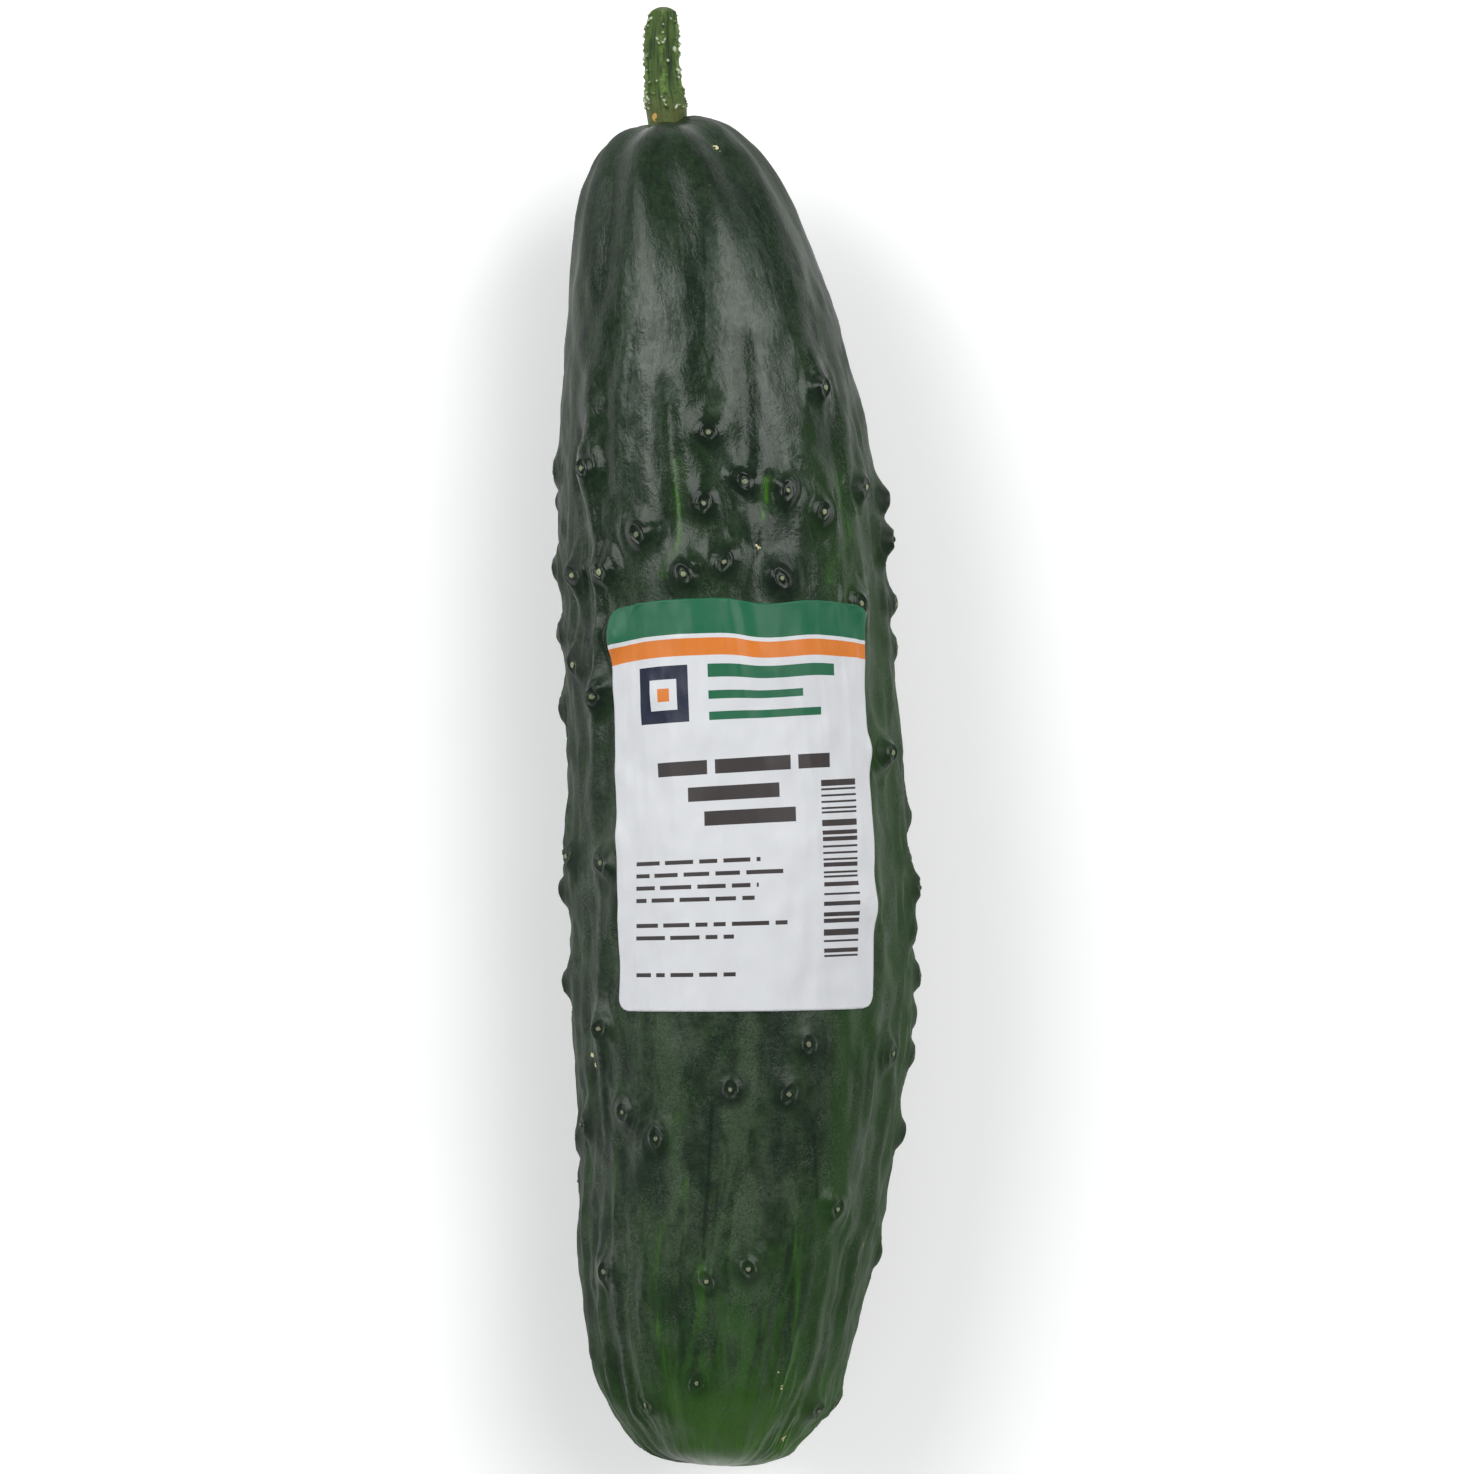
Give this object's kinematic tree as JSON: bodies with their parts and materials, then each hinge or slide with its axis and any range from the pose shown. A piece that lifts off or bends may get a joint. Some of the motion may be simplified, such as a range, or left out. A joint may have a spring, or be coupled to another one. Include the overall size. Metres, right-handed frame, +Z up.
{
  "type": "whole cucumber",
  "caption": "Whole ridged slicing cucumber with warty dark green skin, a short cut stem and a plain film label, lying on its side.",
  "frame": {"origin": "on the resting plane, under the middle of the whole cucumber's bounding box", "axes": "+Y along the cucumber towards its stem, +Z up from the resting plane through the labelled side, +X to the right seen from above"},
  "size_m": [0.0555, 0.2162, 0.0505],
  "materials": {
    "skin": "waxy satin green skin, mottled, with lighter lengthwise streaks and pale round scars on the wart tips",
    "stalk": "matt green ribbed stalk with pale-tipped bristly bumps",
    "film": null
  },
  "bodies": {
    "root": {"fruit": "skin", "stem": "stalk", "label": "film"}
  },
  "joints": []
}
